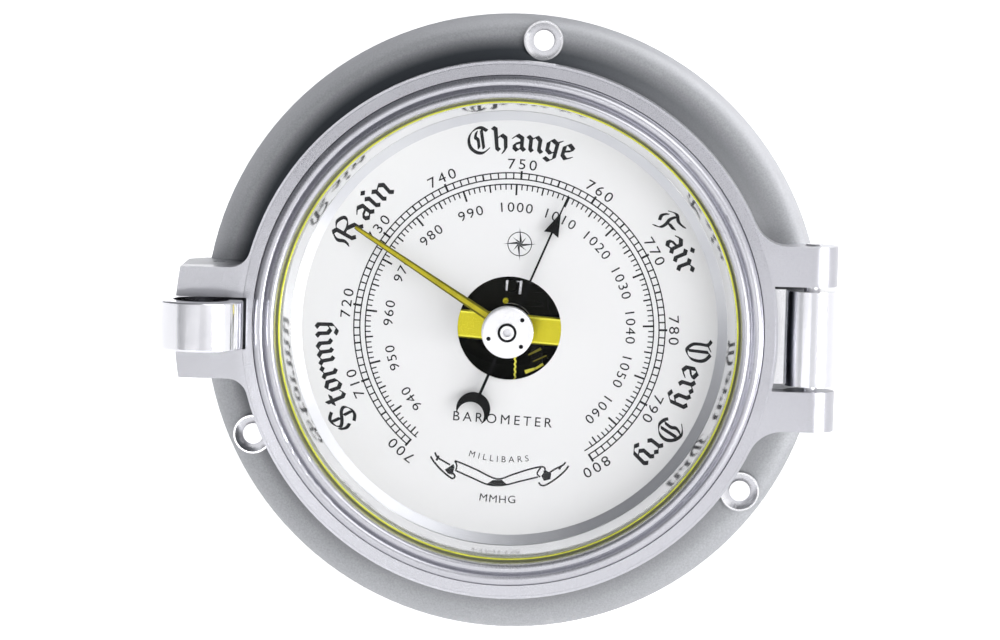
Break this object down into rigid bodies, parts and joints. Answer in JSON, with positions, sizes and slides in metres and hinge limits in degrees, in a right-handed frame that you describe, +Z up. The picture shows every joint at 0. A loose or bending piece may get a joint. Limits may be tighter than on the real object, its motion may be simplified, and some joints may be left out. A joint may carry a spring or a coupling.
{
  "type": "aneroid barometer",
  "caption": "Round porthole-style aneroid barometer with a screw-down flange, a hinged and latched glazed bezel, and a knob-turned set hand over a printed dial.",
  "frame": {"origin": "centre of the back face of the wall flange", "axes": "+Z is up on the wall, -Y is out of the wall through the dial, +X is to the right as the dial is read"},
  "size_m": [0.1618, 0.0406, 0.15],
  "materials": {
    "cast_satin": "matt satin chrome over a fine-blasted casting",
    "bezel_satin": "satin chrome, turned",
    "clasp_polished": "brighter satin to polished chrome",
    "cover_plate": "spun and lightly brushed",
    "plate_black": "black lacquered brass plate",
    "black_lacquer": "black lacquer, satin",
    "black_hand": "black lacquered steel",
    "steel": "polished steel",
    "brass": "polished and lacquered brass",
    "trim_brass": "bright brass edge",
    "dial_silver": "silver-white printed dial",
    "rehaut": "polished cone",
    "glass": "clear mineral glass",
    "seal": "soft black seal",
    "knob": "turned, finely brushed"
  },
  "bodies": {
    "case": {"case_body": "cast_satin", "rear_cover": "cover_plate", "rear_cover_screws": "steel", "movement_plate": "plate_black", "movement_screws": "steel", "capsule_lower": "black_lacquer", "capsule_upper": "black_lacquer", "capsule_nut": "brass", "main_spring": "black_lacquer", "spring_foot_screws": "steel", "calibration_screw": "brass", "rocker_cocks": "brass", "cock_screws": "steel", "bridge_bar": "brass", "bridge_pillars": "brass", "bridge_screws": "steel", "arbor_cock": "brass", "hairspring": "steel", "hairspring_stud": "brass", "chain": "brass", "dial_plate": "dial_silver", "rehaut_ring": "rehaut", "rehaut_screws": "steel", "latch_pin": "steel", "latch_spring": "steel"},
    "capsule_stem": {"capsule_stem": "black_lacquer", "stem_cross_pin": "steel"},
    "main_lever": {"main_lever": "black_lacquer", "lever_screws": "black_lacquer", "lever_link": "brass"},
    "rocking_shaft": {"rocker_arbor": "steel", "chain_arm": "brass", "link_crank": "brass", "balance_weight": "brass"},
    "pointer": {"pointer_arbor": "steel", "hairspring_collet": "brass", "hand_bush": "black_hand", "pressure_hand": "black_hand"},
    "bezel": {"bezel_ring": "bezel_satin", "hinge_pin": "steel", "glass": "glass", "glass_trim_ring": "trim_brass", "glass_gasket": "seal", "glass_retaining_ring": "bezel_satin", "bezel_seal": "seal"},
    "set_pointer": {"set_shaft": "steel", "set_hand": "brass", "set_washer": "steel", "set_knob": "knob"},
    "latch": {"latch_clasp": "clasp_polished"}
  },
  "joints": [
    {"name": "bezel_hinge", "type": "hinge", "parent": "case", "child": "bezel", "pos_m": [0.0724, -0.0206, 0], "axis": [0, 0, 1], "range_deg": [0, 160]},
    {"name": "latch_swing", "type": "hinge", "parent": "case", "child": "latch", "pos_m": [-0.071, -0.011, 0], "axis": [0, 0, -1], "range_deg": [0, 75], "stiffness_Nm_per_rad": 0.004, "springref_deg": -5.73, "deforming": ["latch_spring"]},
    {"name": "set_hand_turn", "type": "hinge", "parent": "bezel", "child": "set_pointer", "pos_m": [0, -0.0285, 0], "axis": [0, -1, 0], "continuous": true},
    {"name": "rocking_shaft_turn", "type": "hinge", "parent": "case", "child": "rocking_shaft", "pos_m": [0, -0.0065, -0.034], "axis": [-1, 0, 0], "range_deg": [-14.2, 19], "stiffness_Nm_per_rad": 0.02, "deforming": ["main_spring", "capsule_upper", "chain"]},
    {"name": "pointer_turn", "type": "hinge", "parent": "case", "child": "pointer", "pos_m": [0, -0.0206, 0], "axis": [0, -1, 0], "range_deg": [-126, 169], "deforming": ["hairspring"]},
    {"name": "main_lever_rock", "type": "hinge", "parent": "case", "child": "main_lever", "pos_m": [0, -0.00895, 0.044], "axis": [-1, 0, 0], "range_deg": [-0.7, 0.9]},
    {"name": "capsule_stem_slide", "type": "slide", "parent": "case", "child": "capsule_stem", "axis": [0, -1, 0], "range_m": [-0.0004, 0.0005]}
  ],
  "couplings": [
    {"joint": "pointer_turn", "follows": "rocking_shaft_turn", "ratio": 8.8571},
    {"joint": "main_lever_rock", "follows": "rocking_shaft_turn", "ratio": 0.032258},
    {"joint": "capsule_stem_slide", "follows": "rocking_shaft_turn", "m_per_rad": 0.0010968}
  ]
}
